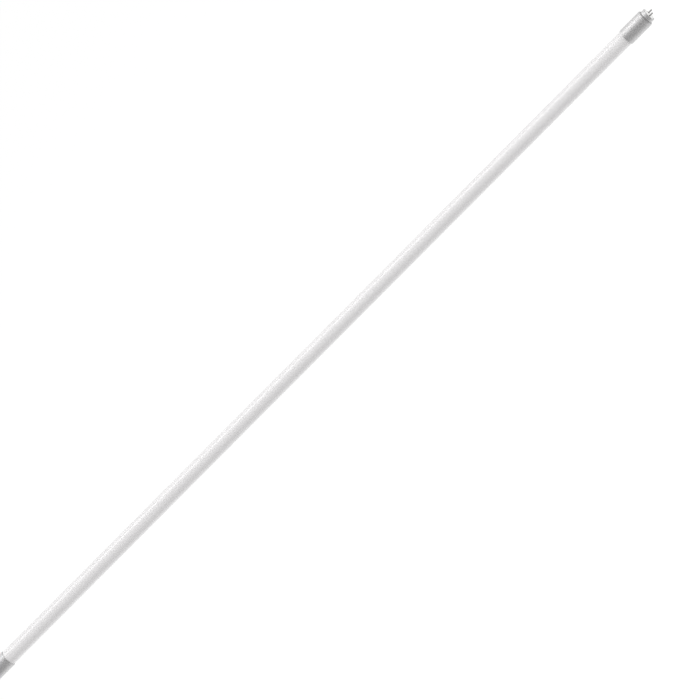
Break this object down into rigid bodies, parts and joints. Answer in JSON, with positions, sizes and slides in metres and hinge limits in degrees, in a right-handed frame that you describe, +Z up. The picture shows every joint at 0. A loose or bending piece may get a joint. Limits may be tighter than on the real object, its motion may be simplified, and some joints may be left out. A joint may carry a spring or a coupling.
{
  "type": "led tube",
  "caption": "Straight opal tube lamp with satin metal end caps and contact pins, lit from inside by an LED strip and its driver.",
  "frame": {"origin": "middle of the tube, on its axis", "axes": "+X along the tube towards the powered end, +Z up, away from the side that is lit"},
  "size_m": [1.5142, 0.028, 0.028],
  "materials": {
    "opal_glass": "satin opal",
    "satin_aluminium": "satin turned",
    "white_moulding": "moulded",
    "plated_pin": "nickel plated",
    "white_board": "white solder mask",
    "silicone": "cured silicone",
    "led_phosphor": "phosphor gel in a white frame",
    "circuit_board": "green solder mask",
    "tinned_strip": "tinned",
    "black_moulding": "moulded",
    "ferrite": "pressed ferrite",
    "film_box": "potted box",
    "capacitor_sleeve": "shrunk sleeve",
    "winding_tape": "polyester tape"
  },
  "bodies": {
    "root": {"diffuser_tube": "opal_glass", "cap_shells": "satin_aluminium", "left_pin_base": "white_moulding", "right_pin_base": "white_moulding", "left_pin_front": "plated_pin", "left_pin_rear": "plated_pin", "right_pin_front": "plated_pin", "right_pin_rear": "plated_pin", "cap_sealant": "silicone", "led_board": "white_board", "board_adhesive": "silicone", "led_packages": "led_phosphor", "driver_board": "circuit_board", "line_strap": "tinned_strip", "neutral_strap": "tinned_strip", "shorting_strap": "tinned_strip", "output_posts": "tinned_strip", "input_fuse": "black_moulding", "input_choke": "ferrite", "film_capacitor": "film_box", "bulk_capacitor": "capacitor_sleeve", "output_capacitor": "capacitor_sleeve", "transformer_core": "ferrite", "transformer_bobbin": "black_moulding", "transformer_winding": "winding_tape", "bridge_rectifier": "black_moulding", "driver_chip": "black_moulding", "output_diode": "black_moulding"}
  },
  "joints": []
}
